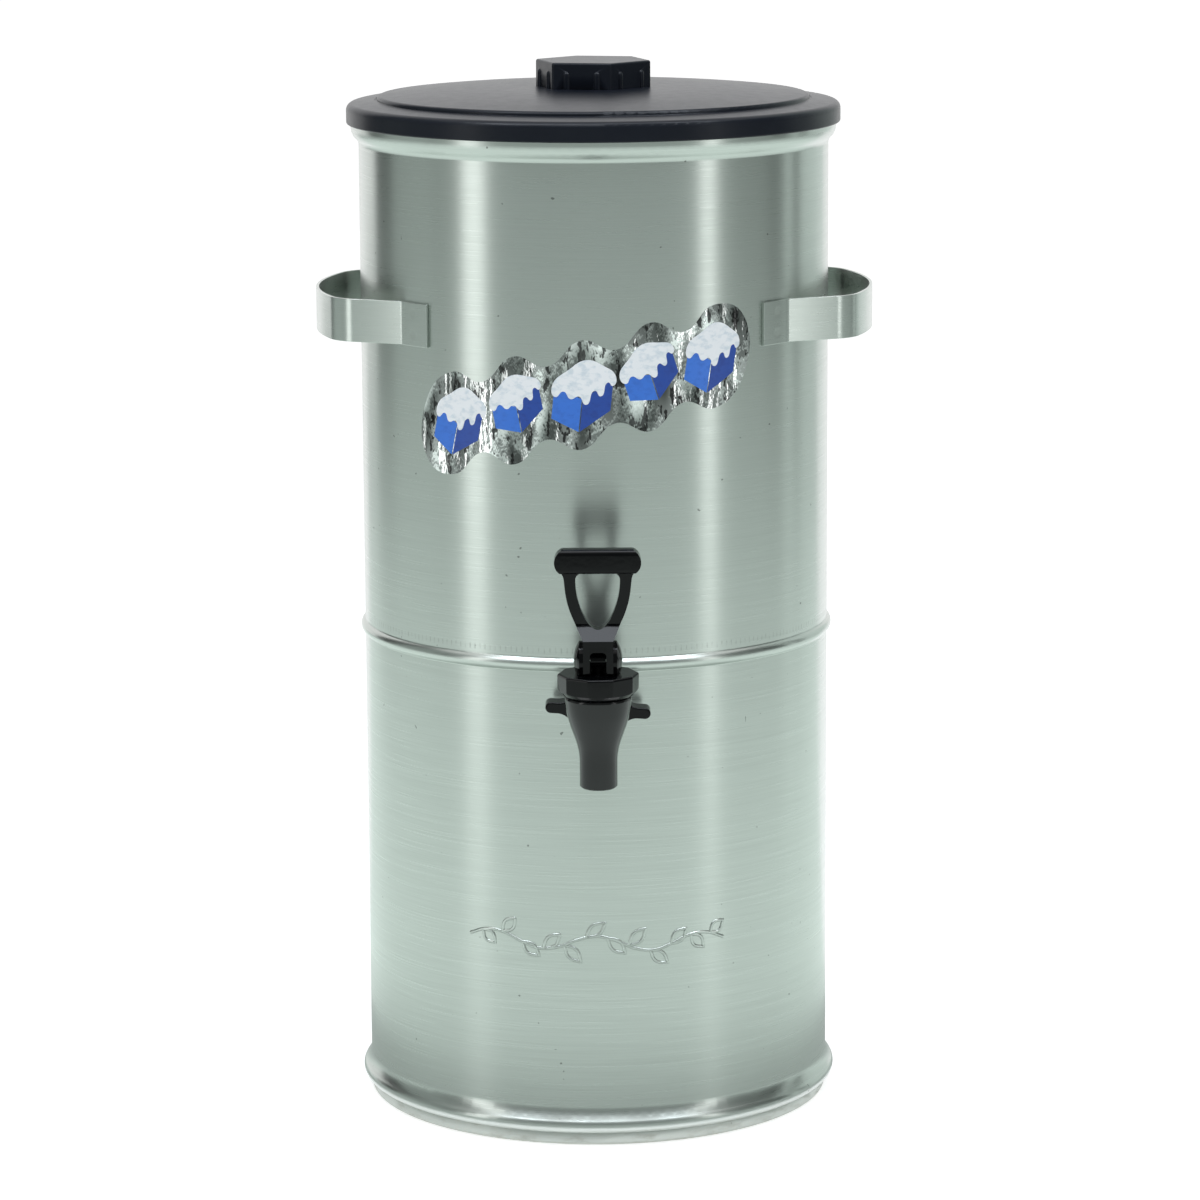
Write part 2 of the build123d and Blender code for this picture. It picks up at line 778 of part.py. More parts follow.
# Spring between the stem's foot and the bonnet's roof
spring_bottom = stem_foot_top + spring_end_gap + spring_wire / 2
spring_length = bonnet_ceiling - spring_end_gap - spring_wire / 2 - spring_bottom
with BuildPart() as stem_spring:
    with BuildLine() as spring_line:
        spring_pitch = spring_length / spring_turns
        coil = Helix(spring_pitch, spring_length, spring_radius, center=(0, tap_y, spring_bottom))
    with BuildSketch(Plane(origin=coil @ 0, z_dir=coil % 0)):
        RegularPolygon(spring_wire / 2, 6)
    sweep(path=coil, is_frenet=True)
finish(stem_spring, "stem_spring")

# Lever: a cam block with a round boss, a shelf, two legs and a top bar. Its front
# outline and its boss are cut to its side outline, which holds the cam.
toe_y = cam_point(lever_opening_angle)[0]
boss_back = sqrt(boss_swell_radius**2 - (pin_height - heel_gap) ** 2)
boss_join = (
    boss_swell_radius * cos(radians(boss_join_angle)),
    boss_swell_radius * sin(radians(boss_join_angle)),
)
shelf_y = toe_y + shelf_back
shelf_z = fold_height + shelf_rise
lean = tan(radians(leg_lean))
bar_top = bar_bottom + bar_height
bar_foot_y = shelf_y - lean * (bar_bottom - shelf_z)
bar_front_y = bar_foot_y - bar_lip
bar_back_y = bar_front_y + bar_depth
leg_middle_height = (bar_bottom + fold_height) / 2
slot_half_width = stem_eye_width / 2 + slot_fit
with BuildPart() as lever:
    with BuildSketch(lever_front):
        with BuildLine():
            top = Line((0, bar_top), (bar_flat_half_width, bar_top))
            end = ThreePointArc(
                top @ 1,
                (bar_half_width, (bar_top + bar_bottom) / 2),
                (leg_shoulder, bar_bottom),
            )
            outer_leg = Spline(
                end @ 1,
                (leg_neck, bar_bottom - leg_neck_drop),
                (leg_middle, leg_middle_height),
                (block_half_width, fold_height),
                tangents=(end % 1, (-1, -leg_end_slope)),
            )
            block_foot = (block_half_width, -boss_swell_radius)
            Polyline(outer_leg @ 1, block_foot, (0, -boss_swell_radius), (0, bar_top))
        make_face()
        mirror(about=Plane.YZ)
    extrude(amount=2 * boss_swell_radius, both=True)
    with BuildSketch(lever_front):
        with BuildLine():
            boss_line = Line((0, 0), (boss_half_width, 0))
            boss_shoulder = (boss_half_width - boss_end_drop, boss_swell_radius)
            boss_end = TangentArc(boss_line @ 1, boss_shoulder, tangent=(0, 1))
            Polyline(boss_end @ 1, (0, boss_swell_radius), (0, 0))
        make_face()
        mirror(about=Plane.YZ)
    revolve(axis=pin_axis)
    with BuildSketch(lever_side):
        with BuildLine():
            heel = Line((boss_back, heel_gap - pin_height), cam_point(0))
            cam_angles = [lever_opening_angle * step / cam_steps for step in range(cam_steps + 1)]
            cam = Spline([cam_point(angle) for angle in cam_angles])
            front = Polyline(
                cam @ 1,
                (toe_y, fold_height),
                (shelf_y, shelf_z),
                (bar_foot_y, bar_bottom),
                (bar_front_y + bar_foot_edge, bar_bottom),
            )
            bar_foot = JernArc(front @ 1, (-1, 0), bar_foot_edge, -90)
            bar_face = Line(bar_foot @ 1, (bar_front_y, bar_top - bar_front_edge))
            bar_round = JernArc(bar_face @ 1, (0, 1), bar_front_edge, -90)
            bar_roof = Line(bar_round @ 1, (bar_back_y - bar_back_edge, bar_top))
            bar_heel = JernArc(bar_roof @ 1, (1, 0), bar_back_edge, -90)
            back = Polyline(
                bar_heel @ 1,
                (bar_back_y + lean * bar_height, bar_bottom),
                (shelf_y + leg_depth, shelf_z - leg_root_drop),
            )
            back_sweep = TangentArc(back @ 1, boss_join, tangent=(lean, -1))
            RadiusArc(back_sweep @ 1, heel @ 0, boss_swell_radius)
        make_face()
    extrude(amount=bar_half_width + boss_swell_radius, both=True, mode=Mode.INTERSECT)
    with BuildSketch(lever_front):
        with BuildLine():
            roof = Line((0, bar_bottom), (ring_half_width - ring_corner, bar_bottom))
            corner = JernArc(roof @ 1, (1, 0), ring_corner, -90)
            side = Bezier(
                corner @ 1,
                (ring_half_width, ring_bottom + ring_drop),
                (ring_draw_in, ring_bottom),
                (0, ring_bottom),
            )
            Line(side @ 1, roof @ 0)
        make_face()
        mirror(about=Plane.YZ)
    extrude(amount=2 * boss_swell_radius, both=True, mode=Mode.SUBTRACT)
    with BuildSketch(lever_front.offset(-toe_y - pocket_depth)) as pocket:
        with BuildLine():
            Polyline(
                (-pocket_half_width, -boss_swell_radius),
                (-pocket_half_width, pocket_top),
                (pocket_half_width, pocket_top),
                (pocket_half_width, -boss_swell_radius),
                close=True,
            )
        make_face()
        fillet(pocket.vertices().group_by(Axis.Y)[-1], pocket_depth)
    extrude(amount=2 * pocket_depth, mode=Mode.SUBTRACT)
    with BuildSketch(lever_front.offset(-slot_back)) as slot:
        with BuildLine():
            Polyline(
                (-slot_half_width, -boss_swell_radius),
                (-slot_half_width, slot_top),
                (slot_half_width, slot_top),
                (slot_half_width, -boss_swell_radius),
                close=True,
            )
        make_face()
        fillet(slot.vertices().group_by(Axis.Y)[-1], slot_corner)
    extrude(amount=slot_back + 2 * boss_swell_radius, mode=Mode.SUBTRACT)
    with BuildSketch(lever_side):
        Circle(pin_radius + pin_seat_gap)
    extrude(amount=2 * boss_half_width, both=True, mode=Mode.SUBTRACT)
finish(lever, "lever")

# Pin through the lever's boss and the stem's eye
with BuildPart() as lever_pin:
    with BuildSketch(lever_side):
        Circle(pin_radius)
    extrude(amount=boss_half_width - pin_inset, both=True)
finish(lever_pin, "lever_pin")
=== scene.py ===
import json
import math

import bmesh
import bpy
from mathutils import Matrix, Vector


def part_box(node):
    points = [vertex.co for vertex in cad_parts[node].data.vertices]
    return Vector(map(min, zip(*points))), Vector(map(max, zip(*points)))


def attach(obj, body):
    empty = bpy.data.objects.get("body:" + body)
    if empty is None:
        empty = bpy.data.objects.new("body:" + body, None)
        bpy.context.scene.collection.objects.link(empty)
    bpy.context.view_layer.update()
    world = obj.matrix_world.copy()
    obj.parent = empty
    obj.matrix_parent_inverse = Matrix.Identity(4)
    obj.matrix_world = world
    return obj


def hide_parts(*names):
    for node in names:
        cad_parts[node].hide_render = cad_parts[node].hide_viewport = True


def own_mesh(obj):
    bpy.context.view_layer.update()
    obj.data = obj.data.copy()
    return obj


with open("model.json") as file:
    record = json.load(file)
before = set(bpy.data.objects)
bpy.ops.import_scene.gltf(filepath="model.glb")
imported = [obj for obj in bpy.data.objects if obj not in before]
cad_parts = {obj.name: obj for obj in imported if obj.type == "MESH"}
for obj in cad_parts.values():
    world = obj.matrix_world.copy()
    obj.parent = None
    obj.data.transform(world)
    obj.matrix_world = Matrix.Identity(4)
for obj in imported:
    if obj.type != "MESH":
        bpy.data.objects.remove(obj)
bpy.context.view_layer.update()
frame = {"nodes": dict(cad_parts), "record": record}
nodes = frame["nodes"]
print("frame loaded:", len(nodes), "nodes")

# The wall that the foil and the emboss lie on, and the seam that the weld marks stand on
wallRadius = 0.1143
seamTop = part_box("tank_wall")[0].z


# Materials: small helpers around the node tree

def startMaterial(name):
    material = bpy.data.materials.new(name)
    material.use_nodes = True
    tree = material.node_tree
    shader = tree.nodes["Principled BSDF"]
    place = tree.nodes.new("ShaderNodeTexCoord").outputs["Object"]
    return material, tree, shader, place


def stretchedNoise(tree, place, scale, detail=3.0, rough=0.55):
    mapping = tree.nodes.new("ShaderNodeMapping")
    mapping.inputs["Scale"].default_value = scale
    noise = tree.nodes.new("ShaderNodeTexNoise")
    noise.inputs["Scale"].default_value = 1.0
    noise.inputs["Detail"].default_value = detail
    noise.inputs["Roughness"].default_value = rough
    tree.links.new(place, mapping.inputs["Vector"])
    tree.links.new(mapping.outputs["Vector"], noise.inputs["Vector"])
    return noise.outputs["Fac"]


def spread(tree, value, span, result=(0.0, 1.0)):
    # maps a span of values onto the result's two ends and holds them beyond it
    node = tree.nodes.new("ShaderNodeMapRange")
    node.inputs["From Min"].default_value = span[0]
    node.inputs["From Max"].default_value = span[1]
    node.inputs["To Min"].default_value = result[0]
    node.inputs["To Max"].default_value = result[1]
    tree.links.new(value, node.inputs["Value"])
    return node.outputs["Result"]


def mathNode(tree, operation, first, second=None, third=None):
    node = tree.nodes.new("ShaderNodeMath")
    node.operation = operation
    for slot, value in enumerate((first, second, third)):
        if value is None:
            continue
        if isinstance(value, (int, float)):
            node.inputs[slot].default_value = value
        else:
            tree.links.new(value, node.inputs[slot])
    return node.outputs[0]


def mixColour(tree, factor, first, second):
    node = tree.nodes.new("ShaderNodeMix")
    node.data_type = "RGBA"
    tree.links.new(factor, node.inputs[0])
    for slot, value in ((6, first), (7, second)):
        if isinstance(value, tuple):
            node.inputs[slot].default_value = (*value, 1.0)
        else:
            tree.links.new(value, node.inputs[slot])
    return node.outputs[2]


def bump(tree, shader, height, distance, strength=1.0):
    node = tree.nodes.new("ShaderNodeBump")
    node.inputs["Strength"].default_value = strength
    node.inputs["Distance"].default_value = distance
    tree.links.new(height, node.inputs["Height"])
    tree.links.new(node.outputs["Normal"], shader.inputs["Normal"])


def splitPlace(tree, place):
    split = tree.nodes.new("ShaderNodeSeparateXYZ")
    tree.links.new(place, split.inputs[0])
    return split.outputs["X"], split.outputs["Y"], split.outputs["Z"]


def fadeOut(tree, distance, reach):
    # full over about half of the reach, then down to nothing at its end
    flatShare = 0.55
    return spread(tree, distance, (reach * flatShare, reach), (1.0, 0.0))


def nearPoint(tree, place, point, reach):
    # 1 at a point that is mirrored in x and y, 0 from its reach outwards
    x, y, z = splitPlace(tree, place)
    mirrored = tree.nodes.new("ShaderNodeCombineXYZ")
    tree.links.new(mathNode(tree, "ABSOLUTE", x), mirrored.inputs["X"])
    tree.links.new(mathNode(tree, "ABSOLUTE", y), mirrored.inputs["Y"])
    tree.links.new(z, mirrored.inputs["Z"])
    distance = tree.nodes.new("ShaderNodeVectorMath")
    distance.operation = "DISTANCE"
    distance.inputs[1].default_value = point
    tree.links.new(mirrored.outputs[0], distance.inputs[0])
    return fadeOut(tree, distance.outputs["Value"], reach)


# Marks on steel: each mask is 1 inside the mark and 0 outside it
def weldRow(tree, place, row):
    # short upright weld marks in a row round the wall, with ragged edges
    x, y, z = splitPlace(tree, place)
    angle = mathNode(tree, "ARCTAN2", y, x)
    wave = mathNode(tree, "SINE", mathNode(tree, "MULTIPLY", angle, row["count"]))
    upright = spread(tree, wave, row["waveSpan"])
    rise = mathNode(tree, "ABSOLUTE", mathNode(tree, "SUBTRACT", z, row["height"]))
    inside = fadeOut(tree, rise, row["reach"])
    ragged = stretchedNoise(tree, place, row["ragScale"], detail=1.0)
    ragged = spread(tree, ragged, row["ragSpan"], (row["ragLeast"], 1.0))
    return mathNode(tree, "MULTIPLY", mathNode(tree, "MULTIPLY", upright, inside), ragged)


def weldSpot(tree, place, spot):
    return nearPoint(tree, place, spot["point"], spot["reach"])


def scuffPatches(tree, place, scuffs):
    worn = stretchedNoise(tree, place, scuffs["scale"], detail=5.0, rough=0.7)
    return spread(tree, worn, scuffs["span"])


seamWelds = {
    "mask": weldRow,
    "count": 262.0,
    "height": seamTop + 0.0032,
    "reach": 0.0017,
    "waveSpan": (0.45, 0.95),
    "ragScale": (900.0, 900.0, 500.0),
    "ragSpan": (0.38, 0.62),
    "ragLeast": 0.15,
    "tint": 0.30,
    "colour": (0.24, 0.25, 0.23),
    "roughens": 0.10,
    "depth": 9.0,
}
# one tab's two spot welds, above and below the strap's middle, which nearPoint mirrors
# to the other tabs
strapBottom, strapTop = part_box("right_handle")
strapMiddle = (strapBottom.z + strapTop.z) / 2
tabWeld = {"x": 0.0867, "y": 0.0773, "aside": 0.005}
lowerWeld = {
    "mask": weldSpot,
    "point": (tabWeld["x"], tabWeld["y"], strapMiddle - tabWeld["aside"]),
    "reach": 0.0028,
    "tint": 0.18,
    "colour": (0.30, 0.31, 0.29),
    "roughens": 0.08,
    "depth": 14.0,
}
upperWeld = dict(lowerWeld, point=(tabWeld["x"], tabWeld["y"], strapMiddle + tabWeld["aside"]))
footScuffs = {
    "mask": scuffPatches,
    "scale": (85.0, 85.0, 210.0),
    "span": (0.50, 0.66),
    "tint": 0.5,
    "colour": (0.47, 0.48, 0.43),
    "roughens": 0.2,
    "depth": 0.0,
}

# Brushed steel: fine lines run level round the wall, so highlights stretch upright
steelLook = {
    "colour": (0.590, 0.632, 0.598),
    "streakColour": (0.540, 0.580, 0.546),
    "streakSpan": (0.34, 0.66),
    "grain": (22.0, 22.0, 3400.0),
    "grainShare": 0.7,
    "broadGrain": (9.0, 9.0, 900.0),
    "broadShare": 0.3,
    "roughness": (0.265, 0.315),
    "roughSpan": (0.30, 0.70),
    "anisotropy": 0.72,
    "lineDepth": 0.0000022,
    "speckScale": (430.0, 430.0, 430.0),
    "speckSpan": (0.874, 0.886),
    "speckShare": 0.6,
    "speckColour": (0.05, 0.05, 0.045),
}
footLook = dict(steelLook, colour=(0.48, 0.51, 0.47), roughness=(0.33, 0.46), anisotropy=0.4)
strapLook = dict(steelLook, grain=(60.0, 60.0, 3800.0))
panLook = dict(steelLook, grain=(420.0, 420.0, 420.0), roughness=(0.30, 0.42), anisotropy=0.2)
turnedLook = dict(steelLook, grain=(2200.0, 300.0, 300.0), anisotropy=0.0)


def brushedSteel(name, look, marks=()):
    material, tree, shader, place = startMaterial(name)
    fine = stretchedNoise(tree, place, look["grain"], detail=2.0)
    broad = stretchedNoise(tree, place, look["broadGrain"], detail=3.0)
    broad = mathNode(tree, "MULTIPLY", broad, look["broadShare"])
    height = mathNode(tree, "MULTIPLY_ADD", fine, look["grainShare"], broad)
    smoothest, roughest = look["roughness"]
    rough = spread(tree, height, look["roughSpan"], (roughest, smoothest))
    tone = spread(tree, height, look["streakSpan"])
    paint = mixColour(tree, tone, look["streakColour"], look["colour"])
    specks = stretchedNoise(tree, place, look["speckScale"], detail=0.0)
    specks = spread(tree, specks, look["speckSpan"], (0.0, look["speckShare"]))
    paint = mixColour(tree, specks, paint, look["speckColour"])
    for mark in marks:
        # a mark tints and roughens the steel inside its mask, and a weld presses it in too
        mask = mark["mask"](tree, place, mark)
        tint = mathNode(tree, "MULTIPLY", mask, mark["tint"])
        paint = mixColour(tree, tint, paint, mark["colour"])
        rough = mathNode(tree, "MULTIPLY_ADD", mask, mark["roughens"], rough)
        if mark["depth"]:
            height = mathNode(tree, "MULTIPLY_ADD", mask, -mark["depth"], height)
    tree.links.new(paint, shader.inputs["Base Color"])
    tree.links.new(rough, shader.inputs["Roughness"])
    shader.inputs["Metallic"].default_value = 1.0
    shader.inputs["Anisotropic"].default_value = look["anisotropy"]
    upright = tree.nodes.new("ShaderNodeCombineXYZ")
    upright.inputs["Z"].default_value = 1.0
    tree.links.new(upright.outputs[0], shader.inputs["Tangent"])
    bump(tree, shader, height, look["lineDepth"])
    return material


# Moulded plastic: satin on the lid, deep gloss on the tap and softer on its spout
lidLook = {
    "colour": (0.0062, 0.0082, 0.0130),
    "paleColour": (0.0074, 0.0096, 0.0150),
    "cloud": (30.0, 30.0, 30.0),
    "cloudSpan": (0.35, 0.65),
    "grain": (2400.0, 2400.0, 2400.0),
    "grainDepth": 0.000012,
    "wear": (160.0, 160.0, 160.0),
    "wearSpan": (0.35, 0.70),
    "roughness": (0.29, 0.33),
    "ior": 1.5,
    "specular": 0.22,
}
tapLook = dict(
    lidLook,
    colour=(0.0012, 0.0014, 0.0017),
    paleColour=(0.0026, 0.0028, 0.0032),
    cloud=(60.0, 60.0, 60.0),
    grain=(300.0, 300.0, 300.0),
    grainDepth=0.000015,
    roughness=(0.04, 0.08),
    specular=0.19,
)
spoutLook = dict(tapLook, roughness=(0.14, 0.20), specular=0.50)
# the shallow dimple that the moulding's gate leaves in the middle of the knob
knobGate = {"point": (0.0, 0.0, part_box("lid_knob")[1].z), "reach": 0.0026, "depth": 9.0}


def mouldedPlastic(name, look, gate=None):
    material, tree, shader, place = startMaterial(name)
    cloud = stretchedNoise(tree, place, look["cloud"], detail=4.0)
    tone = spread(tree, cloud, look["cloudSpan"])
    paint = mixColour(tree, tone, look["colour"], look["paleColour"])
    tree.links.new(paint, shader.inputs["Base Color"])
    wear = stretchedNoise(tree, place, look["wear"], detail=6.0, rough=0.7)
    rough = spread(tree, wear, look["wearSpan"], look["roughness"])
    tree.links.new(rough, shader.inputs["Roughness"])
    shader.inputs["IOR"].default_value = look["ior"]
    shader.inputs["Specular IOR Level"].default_value = look["specular"]
    height = stretchedNoise(tree, place, look["grain"], detail=2.0)
    if gate:
        dimple = nearPoint(tree, place, gate["point"], gate["reach"])
        height = mathNode(tree, "MULTIPLY_ADD", dimple, -gate["depth"], height)
    bump(tree, shader, height, look["grainDepth"])
    return material


# Rubber and silicone: dull and a little cloudy
gasketLook = {
    "colour": (0.012, 0.012, 0.012),
    "paleColour": (0.022, 0.022, 0.021),
    "cloud": (180.0, 180.0, 180.0),
    "grain": (1500.0, 1500.0, 1500.0),
    "grainSpan": (0.3, 0.7),
    "grainDepth": 0.00003,
    "roughness": (0.527, 0.713),
}
cupLook = dict(
    gasketLook,
    colour=(0.42, 0.42, 0.39),
    paleColour=(0.52, 0.51, 0.48),
    grain=(1200.0, 1200.0, 1200.0),
    roughness=(0.3825, 0.5175),
)


def softSolid(name, look):
    material, tree, shader, place = startMaterial(name)
    cloud = stretchedNoise(tree, place, look["cloud"], detail=4.0)
    paint = mixColour(tree, cloud, look["colour"], look["paleColour"])
    tree.links.new(paint, shader.inputs["Base Color"])
    height = stretchedNoise(tree, place, look["grain"], detail=2.0)
    rough = spread(tree, height, look["grainSpan"], look["roughness"])
    tree.links.new(rough, shader.inputs["Roughness"])
    bump(tree, shader, height, look["grainDepth"])
    return material


bodySteel = brushedSteel("tank_steel", steelLook, [seamWelds])
skirtSteel = brushedSteel("skirt_steel", steelLook)
footSteel = brushedSteel("foot_steel", footLook, [footScuffs])
strapSteel = brushedSteel("strap_steel", strapLook, [lowerWeld, upperWeld])
panSteel = brushedSteel("pan_steel", panLook)
turnedSteel = brushedSteel("turned_steel", turnedLook)
lidPlastic = mouldedPlastic("lid_plastic", lidLook)
knobPlastic = mouldedPlastic("knob_plastic", lidLook, knobGate)
tapPlastic = mouldedPlastic("tap_plastic", tapLook)
spoutPlastic = mouldedPlastic("spout_plastic", spoutLook)
gasketRubber = softSolid("gasket_rubber", gasketLook)
cupSilicone = softSolid("cup_silicone", cupLook)
print("materials made")


# Smooth copies: a CAD node's loose triangles are merged, its hard edges rounded a little
# where that is asked for, and the copy stands for the node
smoothing = {
    "mergeWithin": 0.000002,
    "flatWithin": 0.6,
    "hardFrom": 38.0,
    "bevelSegments": 3,
    "smoothAngle": 32.0,
}


def bodyOf(name):
    bodies = frame["record"]["behaviour"]["bodies"]
    return next(body for body, members in bodies.items() if name in members)


def roundEdges(shape, edge):
    # triangles of one flat face are joined first, so only true edges are left to round
    bmesh.ops.dissolve_limit(
        shape, angle_limit=math.radians(smoothing["flatWithin"]), use_dissolve_boundaries=False,
        verts=shape.verts, edges=shape.edges, delimit=set(),
    )
    hardFrom = math.radians(smoothing["hardFrom"])
    shared = [side for side in shape.edges if len(side.link_faces) == 2]
    hard = [side for side in shared if side.calc_face_angle(0.0) > hardFrom]
    bmesh.ops.bevel(
        shape, geom=hard, offset=edge, offset_type="OFFSET", affect="EDGES",
        segments=smoothing["bevelSegments"], profile=0.5, material=-1,
        clamp_overlap=True, loop_slide=True,
    )


def dressNode(name, material, edge=0.0, smoothAngle=smoothing["smoothAngle"]):
    mesh = nodes[name].data.copy()
    mesh.materials.clear()
    mesh.materials.append(material)
    shape = bmesh.new()
    shape.from_mesh(mesh)
    bmesh.ops.remove_doubles(shape, verts=shape.verts, dist=smoothing["mergeWithin"])
    if edge:
        roundEdges(shape, edge)
    for face in shape.faces:
        face.smooth = True
        face.material_index = 0
    shape.to_mesh(mesh)
    shape.free()
    mesh.set_sharp_from_angle(angle=math.radians(smoothAngle))
    piece = bpy.data.objects.new(name + "_look", mesh)
    bpy.context.scene.collection.objects.link(piece)
    weighted = piece.modifiers.new("weighted_normals", "WEIGHTED_NORMAL")
    weighted.mode = "FACE_AREA_WITH_ANGLE"
    weighted.keep_sharp = True
    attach(piece, bodyOf(name))
    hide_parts(name)
    return piece


smoothNodes = {
    "tank_wall": bodySteel,
    "base_skirt": skirtSteel,
    "foot_ring": footSteel,
    "bottom_pan": panSteel,
    "right_handle": strapSteel,
    "left_handle": strapSteel,
    "lid": lidPlastic,
    "lid_knob": knobPlastic,
    "tap_body": spoutPlastic,
    "bonnet": tapPlastic,
    "wing_nut": tapPlastic,
    "tap_shank": tapPlastic,
    "lever": tapPlastic,
    "valve_stem": tapPlastic,
}
roundedEdges = {"right_handle": 0.00022, "left_handle": 0.00022, "lever": 0.00085}
# the narrow facets in the lid's roundings meet at up to 62 degrees
smoothAngles = {"lid": 70.0}
for name, material in smoothNodes.items():
    smoothAngle = smoothAngles.get(name, smoothing["smoothAngle"])
    dressNode(name, material, roundedEdges.get(name, 0.0), smoothAngle)

# the spring and the cup each get a mesh of their own
springyNodes = {"stem_spring": turnedSteel, "seat_cup": cupSilicone}
for name, material in springyNodes.items():
    piece = dressNode(name, material)
    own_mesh(piece)

plainNodes = {
    "knob_screw": turnedSteel,
    "shank_washer": turnedSteel,
    "shank_nut": turnedSteel,
    "tail_ring": turnedSteel,
    "lever_pin": turnedSteel,
    "outer_gasket": gasketRubber,
    "inner_gasket": gasketRubber,
    "tail_washer": gasketRubber,
}
for name, material in plainNodes.items():
    nodes[name].data.materials.clear()
    nodes[name].data.materials.append(material)
copies = len(smoothNodes) + len(springyNodes)
print("nodes dressed:", copies, "as smooth copies,", len(plainNodes), "as they are")


# Flat shapes are drawn from closed curves, cut into narrow strips and laid on the wall
wrapping = {
    "curveSteps": 10,
    "mergeWithin": 0.000005,
    "cutWithin": 0.0000001,
    "foilStrip": 0.003,
    "sprigStrip": 0.004,
}


def addSpline(curve, points, corners):
    spline = curve.splines.new("BEZIER")
    spline.bezier_points.add(len(points) - 1)
    for point, (x, z), corner in zip(spline.bezier_points, points, corners):
        point.co = (x, z, 0.0)
        point.handle_left_type = corner
        point.handle_right_type = corner
    return spline


def meshOfCurve(curve):
    holder = bpy.data.objects.new(curve.name + "_curve", curve)
    bpy.context.scene.collection.objects.link(holder)
    bpy.context.view_layer.update()
    mesh = bpy.data.meshes.new_from_object(holder)
    bpy.data.objects.remove(holder)
    return mesh


def flatShape(name, outlines, thickness, corner):
    joined = bmesh.new()
    for outline in outlines:
        curve = bpy.data.curves.new(name, "CURVE")
        curve.dimensions = "2D"
        curve.fill_mode = "BOTH"
        curve.extrude = thickness / 2
        curve.resolution_u = wrapping["curveSteps"]
        spline = addSpline(curve, outline, [corner] * len(outline))
        spline.use_cyclic_u = True
        joined.from_mesh(meshOfCurve(curve))
    mesh = bpy.data.meshes.new(name)
    joined.to_mesh(mesh)
    joined.free()
    return mesh


def wrapOnWall(mesh, height, stand, strip):
    # local x runs round the wall to the right, local y up, local z outwards
    shape = bmesh.new()
    shape.from_mesh(mesh)
    bmesh.ops.remove_doubles(shape, verts=shape.verts, dist=wrapping["mergeWithin"])
    left = min(vert.co.x for vert in shape.verts)
    right = max(vert.co.x for vert in shape.verts)
    cut = left + strip
    while cut < right:
        bmesh.ops.bisect_plane(
            shape, geom=shape.verts[:] + shape.edges[:] + shape.faces[:],
            plane_co=(cut, 0.0, 0.0), plane_no=(1.0, 0.0, 0.0), dist=wrapping["cutWithin"],
        )
        cut += strip
    # faces are turned outwards while the shape is flat, as on a thin bent one this can fail
    bmesh.ops.recalc_face_normals(shape, faces=shape.faces)
    for vert in shape.verts:
        angle = vert.co.x / wallRadius
        reach = wallRadius + stand + vert.co.z
        vert.co = Vector((reach * math.sin(angle), -reach * math.cos(angle), height + vert.co.y))
    shape.to_mesh(mesh)
    shape.free()


def placePiece(name, mesh, material, body, smoothAngle):
    mesh.materials.clear()
    mesh.materials.append(material)
    for polygon in mesh.polygons:
        polygon.use_smooth = True
        polygon.material_index = 0
    mesh.set_sharp_from_angle(angle=math.radians(smoothAngle))
    piece = bpy.data.objects.new(name, mesh)
    bpy.context.scene.collection.objects.link(piece)
    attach(piece, body)


# Foil decal: a scalloped mirror foil with a row of tilted ice cubes under snow
foilLook = {
    # colour and paleColour are the ends of a painted reflection: the foil's colour swings between them with
    # the ripple
    "colour": (0.30, 0.32, 0.31),
    "paleColour": (0.90, 0.92, 0.91),
    "darkColour": (0.05, 0.05, 0.05),
    "ripple": (95.0, 95.0, 26.0),
    "paintedReflectionSpan": (0.40, 0.60),
    "flake": (240.0, 240.0, 90.0),
    "darkSpan": (0.575, 0.60),
    "darkShare": 0.90,
    "roughness": (0.04, 0.10),
    "roughSpan": (0.3, 0.7),
    "flakeInWaves": 0.10,
    "waveDepth": 0.0050,
    "waveStrength": 0.9,
}


def mirrorFoil(name, look):
    material, tree, shader, place = startMaterial(name)
    ripple = stretchedNoise(tree, place, look["ripple"], detail=1.0, rough=0.5)
    flake = stretchedNoise(tree, place, look["flake"], detail=3.0, rough=0.65)
    # painted reflection: the ripple swings the foil's colour between dark and pale, while the same ripple
    # as bump is the foil's real relief
    tone = spread(tree, ripple, look["paintedReflectionSpan"])
    paint = mixColour(tree, tone, look["colour"], look["paleColour"])
    dark = spread(tree, flake, look["darkSpan"], (0.0, look["darkShare"]))
    paint = mixColour(tree, dark, paint, look["darkColour"])
    tree.links.new(paint, shader.inputs["Base Color"])
    shader.inputs["Metallic"].default_value = 1.0
    rough = spread(tree, flake, look["roughSpan"], look["roughness"])
    tree.links.new(rough, shader.inputs["Roughness"])
    waves = mathNode(tree, "MULTIPLY_ADD", flake, look["flakeInWaves"], ripple)
    bump(tree, shader, waves, look["waveDepth"], look["waveStrength"])
    return material


# Printed ink: a flat colour with a faint mottle
blueLook = {
    "colour": (0.034, 0.170, 0.640),
    "shadeColour": (0.028, 0.145, 0.570),
    "cloud": (260.0, 260.0, 420.0),
    "cloudSpan": (0.48, 0.66),
    "roughness": (0.32, 0.416),
    "roughSpan": (0.3, 0.7),
    "depth": 0.00005,
}
deepBlueLook = dict(blueLook, colour=(0.012, 0.062, 0.330), shadeColour=(0.010, 0.050, 0.280))
whiteLook = dict(
    blueLook,
    colour=(0.80, 0.84, 0.85),
    shadeColour=(0.62, 0.70, 0.74),
    roughness=(0.36, 0.468),
)


def printedInk(name, look):
    material, tree, shader, place = startMaterial(name)
    cloud = stretchedNoise(tree, place, look["cloud"], detail=3.0)
    tone = spread(tree, cloud, look["cloudSpan"])
    paint = mixColour(tree, tone, look["colour"], look["shadeColour"])
    tree.links.new(paint, shader.inputs["Base Color"])
    rough = spread(tree, cloud, look["roughSpan"], look["roughness"])
    tree.links.new(rough, shader.inputs["Roughness"])
    bump(tree, shader, cloud, look["depth"])
    return material


